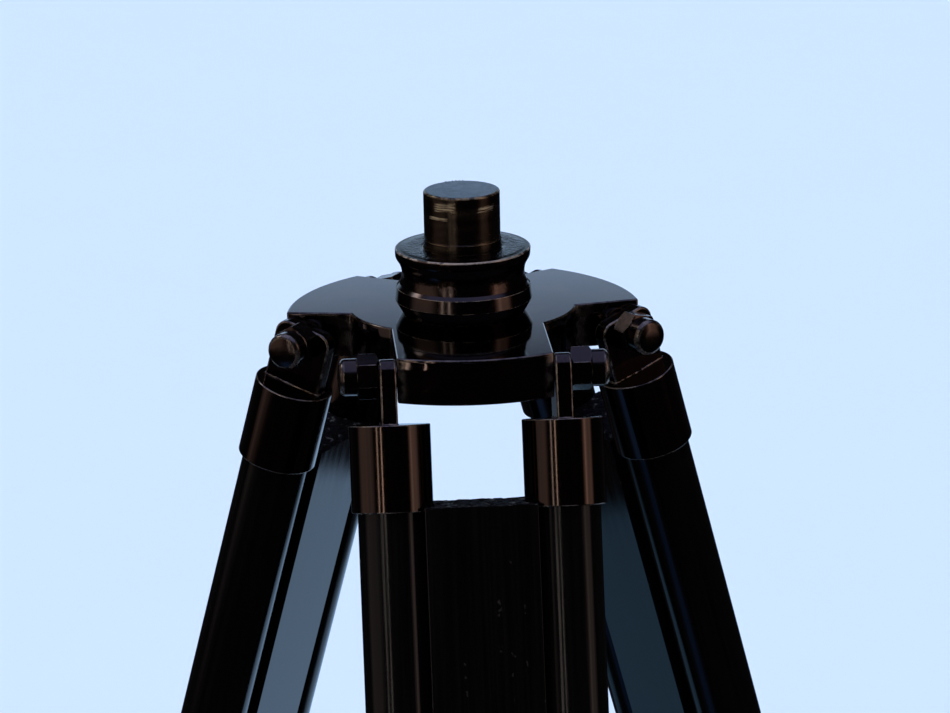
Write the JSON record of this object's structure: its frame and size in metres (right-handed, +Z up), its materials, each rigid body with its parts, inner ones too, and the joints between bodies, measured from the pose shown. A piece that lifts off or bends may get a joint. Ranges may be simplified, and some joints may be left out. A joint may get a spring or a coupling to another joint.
{
  "type": "telescope tripod stand",
  "caption": "Floor-standing tripod for a small brass telescope: notched round head with turned collar and pivot post, hinged wooden legs with sliding boards, thumbscrew clamps and pointed feet.",
  "frame": {"origin": "floor level under the centre of the bounding box; the tripod's own vertical axis is 78.31 mm behind it, at x = 0, y = +0.07831 m", "axes": "+Z up along the pivot post, one leg points along -Y (front), the other two are turned 120 degrees either side of it; +X to the right seen from the front"},
  "size_m": [0.6362, 0.551, 1.0626],
  "materials": {
    "bronze": "brass with a polished, very dark antique bronze finish",
    "worn_bronze": "dark bronze finish worn back to brown and dull yellow brass",
    "lacquered_wood": "gloss black lacquer over hardwood"
  },
  "bodies": {
    "head": {"head_casting": "bronze", "collar": "bronze", "pivot_post": "bronze", "hub_washer": "worn_bronze", "hub_nut": "worn_bronze"},
    "front_leg": {"front_ferrule_a": "bronze", "front_ferrule_b": "bronze", "front_dowel_a": "lacquered_wood", "front_dowel_b": "lacquered_wood", "front_hinge_stud": "worn_bronze", "front_cap_nut_a": "bronze", "front_cap_nut_b": "bronze", "front_bracket": "bronze"},
    "front_extension": {"front_board": "lacquered_wood", "front_stop_screw": "worn_bronze", "front_shoe": "bronze", "front_foot_point": "worn_bronze"},
    "front_clamp_pad": {"front_clamp_pad": "worn_bronze"},
    "front_clamp_knob": {"front_clamp_knob": "bronze"},
    "left_leg": {"left_ferrule_a": "bronze", "left_ferrule_b": "bronze", "left_dowel_a": "lacquered_wood", "left_dowel_b": "lacquered_wood", "left_hinge_stud": "worn_bronze", "left_cap_nut_a": "bronze", "left_cap_nut_b": "bronze", "left_bracket": "bronze"},
    "left_extension": {"left_board": "lacquered_wood", "left_stop_screw": "worn_bronze", "left_shoe": "bronze", "left_foot_point": "worn_bronze"},
    "left_clamp_pad": {"left_clamp_pad": "worn_bronze"},
    "left_clamp_knob": {"left_clamp_knob": "bronze"},
    "right_leg": {"right_ferrule_a": "bronze", "right_ferrule_b": "bronze", "right_dowel_a": "lacquered_wood", "right_dowel_b": "lacquered_wood", "right_hinge_stud": "worn_bronze", "right_cap_nut_a": "bronze", "right_cap_nut_b": "bronze", "right_bracket": "bronze"},
    "right_extension": {"right_board": "lacquered_wood", "right_stop_screw": "worn_bronze", "right_shoe": "bronze", "right_foot_point": "worn_bronze"},
    "right_clamp_pad": {"right_clamp_pad": "worn_bronze"},
    "right_clamp_knob": {"right_clamp_knob": "bronze"}
  },
  "joints": [
    {"name": "front_leg_hinge", "type": "hinge", "parent": "head", "child": "front_leg", "pos_m": [0, 0.02721, 1.00701], "axis": [-1, 0, 0], "range_deg": [-16.5, 20]},
    {"name": "front_leg_extension", "type": "slide", "parent": "front_leg", "child": "front_extension", "axis": [0, -0.284, -0.9588], "range_m": [0, 0.38]},
    {"name": "front_clamp_travel", "type": "slide", "parent": "front_leg", "child": "front_clamp_pad", "axis": [0, -0.9588, 0.284], "range_m": [0, 0.0025]},
    {"name": "front_clamp_turn", "type": "hinge", "parent": "front_clamp_pad", "child": "front_clamp_knob", "pos_m": [0, -0.16862, 0.4163], "axis": [0, -0.9588, 0.284], "range_deg": [0, 720]},
    {"name": "left_leg_hinge", "type": "hinge", "parent": "head", "child": "left_leg", "pos_m": [-0.04425, 0.10386, 1.00701], "axis": [0.5, 0.866, 0], "range_deg": [-16.5, 20]},
    {"name": "left_leg_extension", "type": "slide", "parent": "left_leg", "child": "left_extension", "axis": [-0.246, 0.142, -0.9588], "range_m": [0, 0.38]},
    {"name": "left_clamp_travel", "type": "slide", "parent": "left_leg", "child": "left_clamp_pad", "axis": [-0.8304, 0.4794, 0.284], "range_m": [0, 0.0025]},
    {"name": "left_clamp_turn", "type": "hinge", "parent": "left_clamp_pad", "child": "left_clamp_knob", "pos_m": [-0.21385, 0.20178, 0.4163], "axis": [-0.8304, 0.4794, 0.284], "range_deg": [0, 720]},
    {"name": "right_leg_hinge", "type": "hinge", "parent": "head", "child": "right_leg", "pos_m": [0.04425, 0.10386, 1.00701], "axis": [0.5, -0.866, 0], "range_deg": [-16.5, 20]},
    {"name": "right_leg_extension", "type": "slide", "parent": "right_leg", "child": "right_extension", "axis": [0.246, 0.142, -0.9588], "range_m": [0, 0.38]},
    {"name": "right_clamp_travel", "type": "slide", "parent": "right_leg", "child": "right_clamp_pad", "axis": [0.8304, 0.4794, 0.284], "range_m": [0, 0.0025]},
    {"name": "right_clamp_turn", "type": "hinge", "parent": "right_clamp_pad", "child": "right_clamp_knob", "pos_m": [0.21385, 0.20178, 0.4163], "axis": [0.8304, 0.4794, 0.284], "range_deg": [0, 720]}
  ],
  "couplings": [
    {"joint": "front_clamp_turn", "follows": "front_clamp_travel", "rad_per_m": 5026.5},
    {"joint": "left_clamp_turn", "follows": "left_clamp_travel", "rad_per_m": 5026.5},
    {"joint": "right_clamp_turn", "follows": "right_clamp_travel", "rad_per_m": 5026.5}
  ]
}
